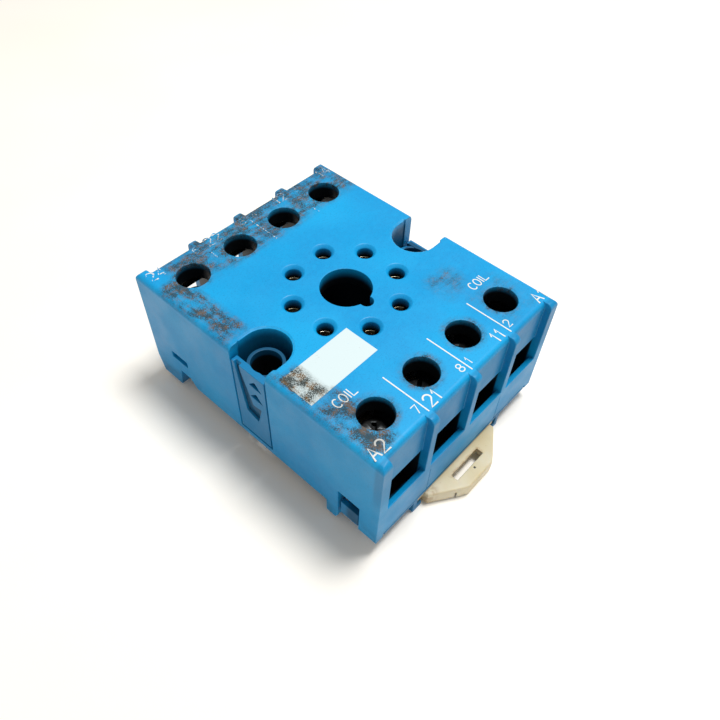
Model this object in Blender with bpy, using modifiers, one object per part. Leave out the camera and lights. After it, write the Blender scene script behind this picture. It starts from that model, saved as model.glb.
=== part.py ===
"""Eight-pin octal socket for a plug-in industrial control relay.

A blue moulded housing snaps onto a base plate whose two towers carry the panel screws. Eight flat
contact strips join eight box-clamp screw terminals to eight spring sleeves on the octal pin circle.
A nylon slider under the front end grips a 35 mm mounting rail.

X runs across the row of terminals, Y along the socket with the nylon clip at -Y, and Z is up. The
origin is on the axis of the central spigot hole, in the plane where the socket sits on its rail.
"""

import math

import bmesh
import bpy
from mathutils import Matrix, Vector

MM = 0.001  # every size below is in millimetres, and the helpers turn it into metres

# Housing
BODY_WIDTH = 40.8
BODY_LENGTH = 50.5
TOP_Z = 19.85
SKIRT_Z = -0.85  # lower edge of the side walls outside the rail channel
WALL_FOOT_Z = 0.15  # lower edge of the end walls and of everything inside the side walls
TOP_THICKNESS = 3.2
SIDE_WALL = 1.95
FOOT_WALL = 1.65
TOP_EDGE_RADIUS = 1.0
FRONT_FOOT_Z = -3.05
REAR_FOOT_Z = -2.75
GAP = 0.3  # clearance between neighbouring pieces
SEAM_WIDTH = 0.12
SEAM_DEPTH = 0.3
SEAM_PLACES = (-8.6, 9.2)

# Wire notch in each side wall near the front, and the slot in it near the rear
NOTCH_LOW_Y = -21.7
NOTCH_HIGH_Y = -17.6
NOTCH_TOP = 5.5
REAR_SLOT_Y = (16.3, 20.2)
REAR_SLOT_Z = (4.35, 5.75)

# Terminal bays, four at each end
BAY_PITCH = 9.56
BAY_WIDTH = 8.26
BAY_RECESS = 1.15
SILL_Z = 7.5
SILL_DROP = 0.25
FRONT_WINDOW_TOP = 12.0
REAR_WINDOW_TOP = 13.1
TERMINAL_Y = 18.6
ACCESS_RADIUS = 2.68
CHAMBER_INNER_Y = 15.0
CHAMBER_OUTER_Y = 23.2
SILL_INNER_Y = 24.3  # inner face of the end wall under the windows
CAVITY_Y = 13.6

# Octal pin pattern and spigot hole
PIN_CIRCLE_RADIUS = 17.45 / 2
PIN_HOLE_RADIUS = 1.3
PIN_MOUTH_RADIUS = 1.83
SPIGOT_RADIUS = 4.08
SPIGOT_TUBE_BORE = 4.8
SPIGOT_TUBE_RADIUS = 5.5
KEY_RADIUS = 1.1
KEY_Y = -4.2

# Wells for the two panel screws, and the base plate's towers that stand in them
WELL_X = 16.6
WELL_RADIUS = 3.7
WELL_WALL = 1.0
WELL_OUTER_X = 19.65
WINDOW_HALF = 3.65  # half width of the well's opening in the side wall
WELL_RIM_STEP = 0.35
BRIDGE_Z = 1.15
TOWER_X = 17.15
TOWER_Y = -0.45
TOWER_RADIUS = 2.85
LEFT_TOWER_TOP = 17.45
RIGHT_TOWER_TOP = 14.5
TOWER_FOOT_X = 19.35
PANEL_SCREW_RADIUS = 2.3
LEFT_PANEL_TOP = 17.8
RIGHT_PANEL_TOP = 14.55
POCKET_DEPTH = 0.6
LOUVRE_LENGTH = 2.6
LOUVRE_HEIGHT = 1.3

# Contact strips and spring sleeves
STRIP_LOW = 12.55
STRIP_HIGH = 13.35
STRIP_WIDTH = 5.8
STRIP_OUTER_Y = 21.2
STRIP_INNER_Y = 13.1
NECK_WIDTH = 2.4
EYE_RADIUS = 2.8
EYE_HOLE_RADIUS = 1.98
SLEEVE_RADIUS = 1.65
SLEEVE_BORE = 1.23
SLEEVE_LOW = 7.15
SLEEVE_HIGH = 17.5
SLIT_WIDTH = 0.44
SLIT_FLOOR = 4.4  # height of the slits' lower ends above the foot of the sleeve

# Terminal screws (M3) and the yokes that they lift
SCREW_HEAD_RADIUS = 2.5
SCREW_HEAD_LOW = 13.65
SCREW_HEAD_HIGH = 15.45
SCREW_SHANK_RADIUS = 1.45
SCREW_SLOT_WIDTH = 0.7
SCREW_SLOT_DEPTH = 0.9
SCREW_CROSS_LENGTH = 3.0
SCREW_TIP_Z = 4.6
YOKE_HALF_WIDTH = 3.8
YOKE_PLATE = 1.0
YOKE_SIDE = 0.55
YOKE_HALF_LENGTH = 3.0
YOKE_LOW = 6.1
YOKE_HIGH = 10.6
YOKE_BOSS_RADIUS = 2.5
YOKE_BOSS_LOW = 5.2

# Base plate, rail hooks and nylon clip
BASE_HALF_WIDTH = 18.15
BASE_HALF_LENGTH = 22.9
BASE_THICKNESS = 1.4
PIN_POST_RADIUS = 1.4  # post under each spring sleeve
FLANGE_TOP = -0.15
FLAP_TOP = 2.4  # flap that closes the lower part of the side wall's wire notch
FLAP_THICKNESS = 0.85
BRIDGE_LOW = 0.1  # the bridge that carries the flap
BRIDGE_HIGH = 0.9
STANDING_Z = -3.95  # the lowest plane, on which the loose socket stands
HOOK_X = 12.0
HOOK_WIDTH = 6.0
GUIDE_X = 10.95
CLIP_HIGH = -1.15
CLIP_LOW = -3.85
CLIP_HALF_WIDTH = 8.8
CLIP_TIP_HALF_WIDTH = 3.0
CLIP_TIP_Y = -29.7
CLIP_SLOT_FLOOR = -2.3  # underside of the thin web that the driver slot goes through
CLIP_INNER_Y = -13.7
CLIP_SHOULDER_Y = -25.9
CLIP_FLANGE_HALF_WIDTH = 10.15
CLIP_FLANGE_LOW = -2.65
CLIP_FLANGE_HIGH = -1.65
ARM_SLIT_X = 6.75
ARM_SLIT_WIDTH = 0.7

# Each terminal: its marking, column from the left, end of the socket, and the octal pin it feeds
TERMINALS = (
    ("A2", 0, -1, 7),
    ("21", 1, -1, 8),
    ("11", 2, -1, 1),
    ("A1", 3, -1, 2),
    ("24", 0, 1, 6),
    ("22", 1, 1, 5),
    ("12", 2, 1, 4),
    ("14", 3, 1, 3),
)


def clear_scene():
    for obj in list(bpy.data.objects):
        bpy.data.objects.remove(obj, do_unlink=True)


def new_collection(name):
    collection = bpy.data.collections.new(name)
    bpy.context.scene.collection.children.link(collection)
    return collection


clear_scene()
PARTS = new_collection("relay_socket")
CUTTERS = new_collection("cutters")


def make_material(name, colour, roughness, metallic=0.0):
    material = bpy.data.materials.new(name)
    material.use_nodes = True
    shader = material.node_tree.nodes["Principled BSDF"]
    shader.inputs["Base Color"].default_value = (*colour, 1.0)
    shader.inputs["Roughness"].default_value = roughness
    shader.inputs["Metallic"].default_value = metallic
    return material


def add_object(name, mesh, location=(0, 0, 0)):
    """A helper solid, hidden from renders until show() makes it a part."""
    obj = bpy.data.objects.new(name, mesh)
    obj.location = Vector(location) * MM
    obj.hide_render = True
    obj.display_type = "WIRE"
    CUTTERS.objects.link(obj)
    return obj


def show(obj, name, material):
    """Makes a finished solid a part of the socket."""
    CUTTERS.objects.unlink(obj)
    PARTS.objects.link(obj)
    obj.name = name
    obj.hide_render = False
    obj.display_type = "TEXTURED"
    obj.data.materials.clear()
    obj.data.materials.append(material)
    return obj


def mesh_from(name, bm):
    mesh = bpy.data.meshes.new(name)
    bm.to_mesh(mesh)
    bm.free()
    return mesh


def add_box(name, low, high):
    low, high = Vector(low), Vector(high)
    bm = bmesh.new()
    bmesh.ops.create_cube(bm, size=1.0)
    bmesh.ops.scale(bm, vec=(high - low) * MM, verts=bm.verts)
    return add_object(name, mesh_from(name, bm), (low + high) / 2)


def add_cone(name, x, y, low, high, low_radius, high_radius, segments=32):
    bm = bmesh.new()
    bmesh.ops.create_cone(
        bm,
        cap_ends=True,
        segments=segments,
        radius1=low_radius * MM,
        radius2=high_radius * MM,
        depth=(high - low) * MM,
    )
    return add_object(name, mesh_from(name, bm), (x, y, (low + high) / 2))


def add_cylinder(name, x, y, low, high, radius, segments=32):
    return add_cone(name, x, y, low, high, radius, radius, segments)


def add_prism(name, outlines, low, high, axis="Z"):
    """Extrudes closed outlines, the first one outside and the rest holes, between two places on an axis.

    Outlines are (x, y) for Z, (x, z) for Y and (y, z) for X.
    """
    curve = bpy.data.curves.new(name, "CURVE")
    curve.dimensions = "2D"
    curve.fill_mode = "BOTH"
    curve.extrude = (high - low) / 2 * MM
    for outline in outlines:
        spline = curve.splines.new("POLY")
        spline.points.add(len(outline) - 1)
        for point, (u, v) in zip(spline.points, outline):
            point.co = (u * MM, v * MM, 0.0, 1.0)
        spline.use_cyclic_u = True
    guide = bpy.data.objects.new(name, curve)
    CUTTERS.objects.link(guide)
    mesh = realise(guide)
    bm = bmesh.new()
    bm.from_mesh(mesh)
    bmesh.ops.remove_doubles(bm, verts=bm.verts, dist=1e-6)
    bmesh.ops.recalc_face_normals(bm, faces=bm.faces)
    bm.to_mesh(mesh)
    bm.free()
    middle = (low + high) / 2
    obj = add_object(name, mesh)
    turns = {
        "Z": Matrix.Translation((0, 0, middle * MM)),
        "Y": Matrix.Translation((0, middle * MM, 0)) @ Matrix.Rotation(math.pi / 2, 4, "X"),
        "X": Matrix.Translation((middle * MM, 0, 0))
        @ Matrix(((0, 0, 1, 0), (1, 0, 0, 0), (0, 1, 0, 0), (0, 0, 0, 1))),
    }
    obj.matrix_world = turns[axis]
    return obj


def realise(obj):
    """The object's mesh with its modifiers applied. The object itself is removed."""
    bpy.context.view_layer.update()
    graph = bpy.context.evaluated_depsgraph_get()
    mesh = bpy.data.meshes.new_from_object(obj.evaluated_get(graph))
    bpy.data.objects.remove(obj, do_unlink=True)
    return mesh


def boolean(target, operation, others):
    for other in others:
        modifier = target.modifiers.new(f"{operation.lower()} {other.name}", "BOOLEAN")
        modifier.operation = operation
        modifier.solver = "EXACT"
        modifier.object = other


def cut(target, *cutters):
    boolean(target, "DIFFERENCE", cutters)


def join(target, *others):
    boolean(target, "UNION", others)


def arc(centre, radius, start, end, steps):
    """Points on a circle from one angle to another, in degrees, both ends included."""
    angles = [math.radians(start + (end - start) * i / steps) for i in range(steps + 1)]
    return [(centre[0] + radius * math.cos(a), centre[1] + radius * math.sin(a)) for a in angles]


def shade_round(obj):
    """Smooth shading on curved faces, with edges over 35 degrees kept sharp."""
    obj.data.shade_smooth()
    obj.data.set_sharp_from_angle(angle=math.radians(35))


def terminal_x(column):
    return (column - 1.5) * BAY_PITCH


def pin_place(pin):
    """Octal pins run round the circle from the right of the key, which points along -Y."""
    angle = math.radians(-67.5 + 45 * (pin - 1))
    return PIN_CIRCLE_RADIUS * math.cos(angle), PIN_CIRCLE_RADIUS * math.sin(angle)


def well_outline(side, radius, outer_x):
    """A U around one panel screw, with its straight ends running out to outer_x."""
    points = arc((side * WELL_X, 0), radius, 90, 90 + 180 * side, 14)
    return points + [(side * outer_x, -radius), (side * outer_x, radius)]


# ---- Housing -------------------------------------------------------------------------------------


def body_block():
    """The outer block, with its top edges rounded."""
    block = add_box(
        "body_block",
        (-BODY_WIDTH / 2, -BODY_LENGTH / 2, FRONT_FOOT_Z),
        (BODY_WIDTH / 2, BODY_LENGTH / 2, TOP_Z),
    )
    bm = bmesh.new()
    bm.from_mesh(block.data)
    top = max(vert.co.z for vert in bm.verts)
    edges = [e for e in bm.edges if all(abs(vert.co.z - top) < 1e-7 for vert in e.verts)]
    bmesh.ops.bevel(
        bm, geom=edges, offset=TOP_EDGE_RADIUS * MM, segments=4, profile=0.5, affect="EDGES"
    )
    bm.to_mesh(block.data)
    bm.free()
    return block


def skirt_cutter():
    """Everything under the side walls: rail channel, wire notch, and the ends of the feet."""
    outline = [
        (-27, -6),
        (-27, SKIRT_Z),
        (NOTCH_LOW_Y, SKIRT_Z),
        (NOTCH_LOW_Y, NOTCH_TOP),
        (NOTCH_HIGH_Y, NOTCH_TOP),
        (NOTCH_HIGH_Y, -2.0),
        (-17.2, FRONT_FOOT_Z),
        (-15.25, FRONT_FOOT_Z - 0.5),
        (-15.2, 0),
        (15.0, 0),
        (16.2, 1.65),
        (18.8, 1.65),
        (19.6, REAR_FOOT_Z),
        (24.3, REAR_FOOT_Z),
        (BODY_LENGTH / 2, 1.0),
        (27, 1.0),
        (27, -6),
    ]
    return add_prism("skirt_cutter", [outline], -22, 22, "X")


def under_cutters():
    """Lifts everything between the side walls clear of the base plate."""
    floor = -6
    inner = BODY_WIDTH / 2 - SIDE_WALL
    return [
        add_box(
            "inner_floor_cutter",
            (-inner, -CHAMBER_OUTER_Y, floor),
            (inner, CHAMBER_OUTER_Y, BASE_THICKNESS + GAP),
        ),
        add_box(
            "end_wall_cutter",
            (-BODY_WIDTH / 2 + FOOT_WALL, -27, floor),
            (BODY_WIDTH / 2 - FOOT_WALL, 27, WALL_FOOT_Z),
        ),
    ]


def bay_cutters(column, end):
    """One terminal bay: its recess, window and chamber in one profile, its screw hole and strip slot."""
    low_x = terminal_x(column) - BAY_WIDTH / 2
    face = BODY_LENGTH / 2 - BAY_RECESS
    radius = TOP_EDGE_RADIUS
    under_top = TOP_Z - TOP_THICKNESS
    window_top = FRONT_WINDOW_TOP if end < 0 else REAR_WINDOW_TOP
    outline = [
        (27, SILL_Z),
        (BODY_LENGTH / 2, SILL_Z),
        (SILL_INNER_Y, SILL_Z - SILL_DROP),
        (SILL_INNER_Y, -6),
        (CHAMBER_INNER_Y, -6),
        (CHAMBER_INNER_Y, under_top),
        (CHAMBER_OUTER_Y, under_top),
        (CHAMBER_OUTER_Y, window_top),
        (face, window_top),
        *arc((face - radius, TOP_Z - radius), radius, 0, 90, 4),
        (face - radius, TOP_Z + 1),
        (27, TOP_Z + 1),
    ]
    outline = [(end * y, z) for y, z in outline]
    name = f"{end}_{column}"
    bay = add_prism(f"bay_{name}", [outline], low_x, low_x + BAY_WIDTH, "X")
    access = add_cylinder(
        f"access_{name}", terminal_x(column), end * TERMINAL_Y, 10, 22, ACCESS_RADIUS, 24
    )
    slot_y = sorted((end * (CAVITY_Y - 0.2), end * (CHAMBER_INNER_Y + 0.2)))
    slot_half = STRIP_WIDTH / 2 + GAP + 0.05
    slot = add_box(
        f"strip_slot_{name}",
        (terminal_x(column) - slot_half, slot_y[0], -6),
        (terminal_x(column) + slot_half, slot_y[1], STRIP_HIGH + GAP + 0.05),
    )
    return [bay, access, slot]


def central_cavity():
    """The space for the contacts, around the spigot tube and the walls of the two wells."""
    inner = BODY_WIDTH / 2 - SIDE_WALL
    cavity = add_box(
        "central_cavity", (-inner, -CAVITY_Y, -6), (inner, CAVITY_Y, TOP_Z - TOP_THICKNESS)
    )
    tube = add_cylinder("spigot_tube", 0, 0, -7, 22, SPIGOT_TUBE_RADIUS, 32)
    walls = [
        add_prism(
            f"well_wall_{side}",
            [well_outline(side, WELL_RADIUS + WELL_WALL, WELL_OUTER_X)],
            -7,
            22,
        )
        for side in (-1, 1)
    ]
    cut(cavity, tube, *walls)
    return cavity


def well_cutters(side):
    """A panel-screw well with a rim step, its narrower opening in the side wall, and the rear slot."""
    clear_x = BODY_WIDTH / 2 + 1
    inner_x = BODY_WIDTH / 2 - SIDE_WALL + 0.15
    window_x = sorted((side * (inner_x - 1), side * clear_x))
    slit_x = sorted((side * 18, side * clear_x))
    return [
        add_prism(
            f"well_{side}", [well_outline(side, WELL_RADIUS + 0.1, inner_x)], BRIDGE_Z, 22
        ),
        add_box(
            f"side_window_{side}",
            (window_x[0], -WINDOW_HALF, BRIDGE_Z - 0.1),
            (window_x[1], WINDOW_HALF, 22.5),
        ),
        add_prism(
            f"well_rim_{side}",
            [well_outline(side, WELL_RADIUS + WELL_RIM_STEP, inner_x - 0.2)],
            TOP_Z - 0.2,
            23,
        ),
        add_prism(
            f"well_floor_{side}", [well_outline(side, WELL_RADIUS - 0.1, WELL_OUTER_X)], -7, 5
        ),
        add_box(
            f"rear_slot_{side}",
            (slit_x[0], REAR_SLOT_Y[0], REAR_SLOT_Z[0]),
            (slit_x[1], REAR_SLOT_Y[1], REAR_SLOT_Z[1]),
        ),
    ]


def octal_cutters():
    """The spigot hole with its key, and eight pin holes with tapered mouths."""
    under_top = TOP_Z - TOP_THICKNESS
    cutters = [
        add_cylinder("spigot_hole", 0, 0, 10, 22, SPIGOT_RADIUS, 36),
        add_cylinder("key_slot", 0, KEY_Y, under_top - 1, 22, KEY_RADIUS, 16),
        add_cylinder("spigot_bore", 0, 0, -7, under_top, SPIGOT_TUBE_BORE, 32),
    ]
    mouth_depth = PIN_MOUTH_RADIUS - PIN_HOLE_RADIUS
    for pin in range(1, 9):
        x, y = pin_place(pin)
        hole = add_cylinder(f"pin_hole_{pin}", x, y, 10, 22, PIN_HOLE_RADIUS, 18)
        mouth = add_cone(
            f"pin_mouth_{pin}",
            x,
            y,
            TOP_Z - mouth_depth,
            TOP_Z + mouth_depth,
            PIN_HOLE_RADIUS,
            PIN_MOUTH_RADIUS + mouth_depth,
            18,
        )
        socket = add_cylinder(
            f"sleeve_socket_{pin}", x, y, 10, SLEEVE_HIGH + GAP, SLEEVE_RADIUS + GAP + 0.05, 16
        )
        cutters += [hole, mouth, socket]
    return cutters


def seam_cutters():
    """Fine parting seams down the front end wall, under two of its ribs."""
    front = -BODY_LENGTH / 2
    return [
        add_box(
            f"seam_{x}",
            (x - SEAM_WIDTH / 2, front - 1, WALL_FOOT_Z - 1),
            (x + SEAM_WIDTH / 2, front + SEAM_DEPTH, SILL_Z - 1.4),
        )
        for x in SEAM_PLACES
    ]


def build_housing(material):
    block = body_block()
    cut(block, central_cavity())
    for _, column, end, _ in TERMINALS:
        cut(block, *bay_cutters(column, end))
    cut(block, skirt_cutter(), *under_cutters())
    for side in (-1, 1):
        cut(block, *well_cutters(side))
    cut(block, *octal_cutters(), *seam_cutters())
    show(block, "housing", material)


# ---- Base plate ----------------------------------------------------------------------------------


def tower_pieces(side):
    """One tower: a post around the panel screw, with a flat tongue that fills the side window."""
    x, y = side * TOWER_X, -side * TOWER_Y
    tower_top = LEFT_TOWER_TOP if side < 0 else RIGHT_TOWER_TOP
    panel_top = LEFT_PANEL_TOP if side < 0 else RIGHT_PANEL_TOP
    post = add_cylinder(f"tower_{side}", x, y, 0.2, tower_top, TOWER_RADIUS, 32)
    tongue_x = sorted((side * (BODY_WIDTH / 2 - 0.02), side * (TOWER_FOOT_X - 0.1)))
    half = WINDOW_HALF - GAP
    tongue = add_box(
        f"tongue_{side}",
        (tongue_x[0], -half, BRIDGE_Z + GAP),
        (tongue_x[1], half, panel_top),
    )
    return [post, tongue]


def tower_cutters(side):
    """The screw hole, and the tapered pocket and wedge-shaped louvres in the tongue's outer face."""
    x, y = side * TOWER_X, -side * TOWER_Y
    pocket_x = sorted((side * 22, side * (BODY_WIDTH / 2 - POCKET_DEPTH)))
    outlines = [
        [
            (3.0, 18.9),
            (1.4, 7.2),
            (-1.05, 6.4),
            (-2.05, 10.3),
            (-0.3, 10.0),
            (1.6, 16.3),
            (1.9, 18.9),
        ]
    ]
    panel_top = LEFT_PANEL_TOP if side < 0 else RIGHT_PANEL_TOP
    for foot in (12.2, 15.0):
        if foot + LOUVRE_HEIGHT < panel_top:
            outlines.append(
                [(0, foot), (-LOUVRE_LENGTH, foot - 0.2), (-LOUVRE_LENGTH / 2, foot + LOUVRE_HEIGHT)]
            )
    marks = [
        add_prism(f"panel_mark_{side}_{index}", [[(-side * u, z) for u, z in outline]], *pocket_x, "X")
        for index, outline in enumerate(outlines)
    ]
    hole = add_cylinder(f"panel_hole_{side}", x, y, -7, 22, PANEL_SCREW_RADIUS, 32)
    low_x = sorted((side * 22, side * TOWER_FOOT_X))
    heel = add_box(f"tower_heel_{side}", (low_x[0], -6, -1), (low_x[1], 6, BRIDGE_Z + GAP))
    return [*marks, hole, heel]


def hook_piece(side):
    """A fixed hook under the rear edge of the rail."""
    outline = [
        (22.3, 0.5),
        (22.3, STANDING_Z),
        (18.6, STANDING_Z),
        (18.0, -3.3),
        (18.0, -1.35),
        (20.1, -1.35),
        (20.1, 0.5),
    ]
    low = side * HOOK_X - HOOK_WIDTH / 2
    return add_prism(f"rail_hook_{side}", [outline], low, low + HOOK_WIDTH, "X")


def guide_pieces(side):
    """An L-shaped guide that carries one edge of the nylon clip, lower where it passes under the end wall."""
    pieces = []
    for low_y, high_y, top in ((-22.5, -16.0, 0.5), (-25.2, -22.0, FLANGE_TOP - 0.1)):
        outline = [
            (GUIDE_X - 1.65, STANDING_Z),
            (GUIDE_X + 0.45, STANDING_Z),
            (GUIDE_X + 0.45, top),
            (GUIDE_X - 0.45, top),
            (GUIDE_X - 0.45, -3.0),
            (GUIDE_X - 1.65, -3.0),
        ]
        outline = [(side * x, z) for x, z in outline]
        pieces.append(add_prism(f"clip_guide_{side}_{top}", [outline], low_y, high_y, "Y"))
    return pieces


def flap_pieces(side):
    """The flap in the wire notch of one side wall, on a bridge from the edge of the plate."""
    outer_x = BODY_WIDTH / 2 - GAP
    inner_x = outer_x - FLAP_THICKNESS
    low_y, high_y = NOTCH_LOW_Y + GAP, NOTCH_HIGH_Y - GAP
    flap_x = sorted((side * outer_x, side * inner_x))
    bridge_x = sorted((side * (BASE_HALF_WIDTH - 0.5), side * (inner_x + 0.2)))
    return [
        add_box(
            f"flap_bridge_{side}",
            (bridge_x[0], low_y + 0.2, BRIDGE_LOW),
            (bridge_x[1], high_y - 0.2, BRIDGE_HIGH),
        ),
        add_box(
            f"notch_flap_{side}", (flap_x[0], low_y, SKIRT_Z), (flap_x[1], high_y, FLAP_TOP)
        ),
    ]


def build_base_plate(material):
    plate = add_box(
        "plate",
        (-BASE_HALF_WIDTH, -BASE_HALF_LENGTH, 0),
        (BASE_HALF_WIDTH, BASE_HALF_LENGTH, BASE_THICKNESS),
    )
    for end in (-1, 1):
        flange_y = sorted((end * (BODY_LENGTH / 2 - 0.05), end * (BASE_HALF_LENGTH - 1)))
        flange = add_box(
            f"flange_{end}",
            (-BODY_WIDTH / 2 + FOOT_WALL + GAP, flange_y[0], SKIRT_Z),
            (BODY_WIDTH / 2 - FOOT_WALL - GAP, flange_y[1], FLANGE_TOP),
        )
        web_y = sorted((end * BASE_HALF_LENGTH, end * (BASE_HALF_LENGTH - 1)))
        web = add_box(
            f"flange_web_{end}",
            (-BASE_HALF_WIDTH + 0.5, web_y[0], SKIRT_Z + 0.1),
            (BASE_HALF_WIDTH - 0.5, web_y[1], BASE_THICKNESS - 0.2),
        )
        join(plate, flange, web)
    for side in (-1, 1):
        join(plate, *tower_pieces(side), *flap_pieces(side))
        join(plate, hook_piece(side), *guide_pieces(side))
    for pin in range(1, 9):
        x, y = pin_place(pin)
        join(plate, add_cylinder(f"pin_post_{pin}", x, y, 1, SLEEVE_LOW - GAP, PIN_POST_RADIUS, 10))
    for side in (-1, 1):
        cut(plate, *tower_cutters(side))
    show(plate, "base_plate", material)


# ---- Contacts and terminals ----------------------------------------------------------------------


def build_contact_strip(name, column, end, pin, material):
    """A flat tongue under the screw head, tapering to an eye around the pin's spring sleeve."""
    x = terminal_x(column)
    eye_x, eye_y = pin_place(pin)
    start = Vector((x, end * STRIP_INNER_Y))
    toward = Vector((eye_x, eye_y)) - start
    heading = math.degrees(math.atan2(toward.y, toward.x))
    shoulder = math.degrees(math.asin(NECK_WIDTH / 2 / EYE_RADIUS))
    eye = arc((eye_x, eye_y), EYE_RADIUS, heading + 180 - shoulder, heading - 180 + shoulder, 14)
    half = STRIP_WIDTH / 2
    tongue = [
        (x - end * half, end * STRIP_INNER_Y),
        (x - end * half, end * STRIP_OUTER_Y),
        (x + end * half, end * STRIP_OUTER_Y),
        (x + end * half, end * STRIP_INNER_Y),
    ]
    outline = eye + tongue
    eye_hole = arc((eye_x, eye_y), EYE_HOLE_RADIUS, 0, 337.5, 15)
    screw_hole = arc((x, end * TERMINAL_Y), SCREW_SHANK_RADIUS + GAP + 0.05, 0, 337.5, 15)
    strip = add_prism(f"strip_{name}", [outline, eye_hole, screw_hole], STRIP_LOW, STRIP_HIGH)
    show(strip, f"contact_strip_{name}", material)


def sleeve_mesh():
    """A spring sleeve: a tube slit from the top into four fingers, around its own axis."""
    height = SLEEVE_HIGH - SLEEVE_LOW
    reach = SLEEVE_RADIUS + 1
    half_slit = SLIT_WIDTH / 2
    tube = add_cylinder("sleeve", 0, 0, 0, height, SLEEVE_RADIUS, 16)
    cut(
        tube,
        add_cylinder("sleeve_bore", 0, 0, -1, height + 1, SLEEVE_BORE, 16),
        add_box("slit_x", (-reach, -half_slit, SLIT_FLOOR), (reach, half_slit, height + 1)),
        add_box("slit_y", (-half_slit, -reach, SLIT_FLOOR), (half_slit, reach, height + 1)),
    )
    placed = Matrix.Translation(tube.location)
    mesh = realise(tube)
    mesh.transform(placed)
    return mesh


def screw_mesh():
    """A pan-head screw turned about its own axis, with a slot crossed by a shorter slot."""
    height = SCREW_HEAD_HIGH - SCREW_HEAD_LOW
    shank = SCREW_HEAD_LOW - SCREW_TIP_Z
    crown = arc((SCREW_HEAD_RADIUS - 0.5, height - 0.5), 0.5, 90, 0, 2)
    profile = [(0, height), *crown, (SCREW_HEAD_RADIUS, 0), (SCREW_SHANK_RADIUS, 0)]
    profile += [(SCREW_SHANK_RADIUS, 0.4 - shank), (SCREW_SHANK_RADIUS - 0.4, -shank), (0, -shank)]
    bm = bmesh.new()
    verts = [bm.verts.new((radius * MM, 0, z * MM)) for radius, z in profile]
    for first, second in zip(verts, verts[1:]):
        bm.edges.new((first, second))
    screw = add_object("screw", mesh_from("screw", bm))
    turn = screw.modifiers.new("turned profile", "SCREW")
    turn.steps = turn.render_steps = 16
    turn.use_merge_vertices = True
    turn.merge_threshold = 1e-5
    reach = SCREW_HEAD_RADIUS + 0.5
    half, floor = SCREW_SLOT_WIDTH / 2, height - SCREW_SLOT_DEPTH
    arm = SCREW_CROSS_LENGTH / 2
    slot = add_box("slot", (-reach, -half, floor), (reach, half, height + 1))
    cross = add_box("cross", (-half, -arm, floor), (half, arm, height + 1))
    cut(screw, slot, cross)
    return realise(screw)


def yoke_mesh():
    """A bent steel yoke with a threaded boss, which the screw pulls up against the strip."""
    height = YOKE_HIGH - YOKE_LOW
    wide, inner = YOKE_HALF_WIDTH, YOKE_HALF_WIDTH - YOKE_SIDE
    outline = [
        (-wide, height),
        (-wide, 0.4),
        (-wide + 0.4, 0),
        (wide - 0.4, 0),
        (wide, 0.4),
        (wide, height),
        (inner, height),
        (inner, YOKE_PLATE),
        (-inner, YOKE_PLATE),
        (-inner, height),
    ]
    yoke = add_prism("yoke", [outline], -YOKE_HALF_LENGTH, YOKE_HALF_LENGTH, "Y")
    boss = add_cylinder("boss", 0, 0, YOKE_BOSS_LOW - YOKE_LOW, 0.5, YOKE_BOSS_RADIUS, 16)
    thread = add_cylinder("thread", 0, 0, -3, 3, SCREW_SHANK_RADIUS + GAP, 16)
    join(yoke, boss)
    cut(yoke, thread)
    for y in (-2.5, 2.5):
        groove = add_box(f"groove_{y}", (-2.4, y - 0.25, YOKE_PLATE - 0.3), (2.4, y + 0.25, 2))
        cut(yoke, groove)
    turned = yoke.matrix_world.copy()
    mesh = realise(yoke)
    mesh.transform(turned)
    return mesh


def place_copies(kind, mesh, material, place):
    """One object for each terminal, all sharing a mesh, each with its origin at its own place."""
    for name, column, end, pin in TERMINALS:
        obj = add_object(f"{kind}_{name}", mesh, place(column, end, pin))
        show(obj, f"{kind}_{name}", material)


# ---- Nylon rail clip -----------------------------------------------------------------------------


def build_rail_clip(material):
    """The sliding clip: a tapered handle with a screwdriver slot, and a tongue with two sprung arms."""
    half_outline = [
        (CLIP_HALF_WIDTH, CLIP_INNER_Y),
        (CLIP_HALF_WIDTH, CLIP_SHOULDER_Y),
        (CLIP_TIP_HALF_WIDTH + 1.2, CLIP_TIP_Y + 0.7),
        (CLIP_TIP_HALF_WIDTH, CLIP_TIP_Y),
    ]
    outline = half_outline + [(-x, y) for x, y in reversed(half_outline)]
    clip = add_prism("clip", [outline], CLIP_LOW, CLIP_HIGH)
    edge = clip.modifiers.new("moulded edge", "BEVEL")
    edge.width = 0.3 * MM
    edge.segments = 2
    edge.limit_method = "ANGLE"
    edge.angle_limit = math.radians(60)
    flange = add_box(
        "clip_flange",
        (-CLIP_FLANGE_HALF_WIDTH, -24.9, CLIP_FLANGE_LOW),
        (CLIP_FLANGE_HALF_WIDTH, -15.0, CLIP_FLANGE_HIGH),
    )
    join(clip, flange)
    slot = add_box("driver_slot", (-3.5, -27.6, -6), (3.3, -26.35, 0))
    pocket = add_box("slot_pocket", (-5.0, -28.6, -6), (4.8, -25.3, CLIP_SLOT_FLOOR))
    slits = [
        add_box(
            f"arm_slit_{side}",
            (side * ARM_SLIT_X - ARM_SLIT_WIDTH / 2, -23.5, -6),
            (side * ARM_SLIT_X + ARM_SLIT_WIDTH / 2, -13, 0),
        )
        for side in (-1, 1)
    ]
    cut(clip, pocket, slot, *slits)
    show(clip, "rail_clip", material)


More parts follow.
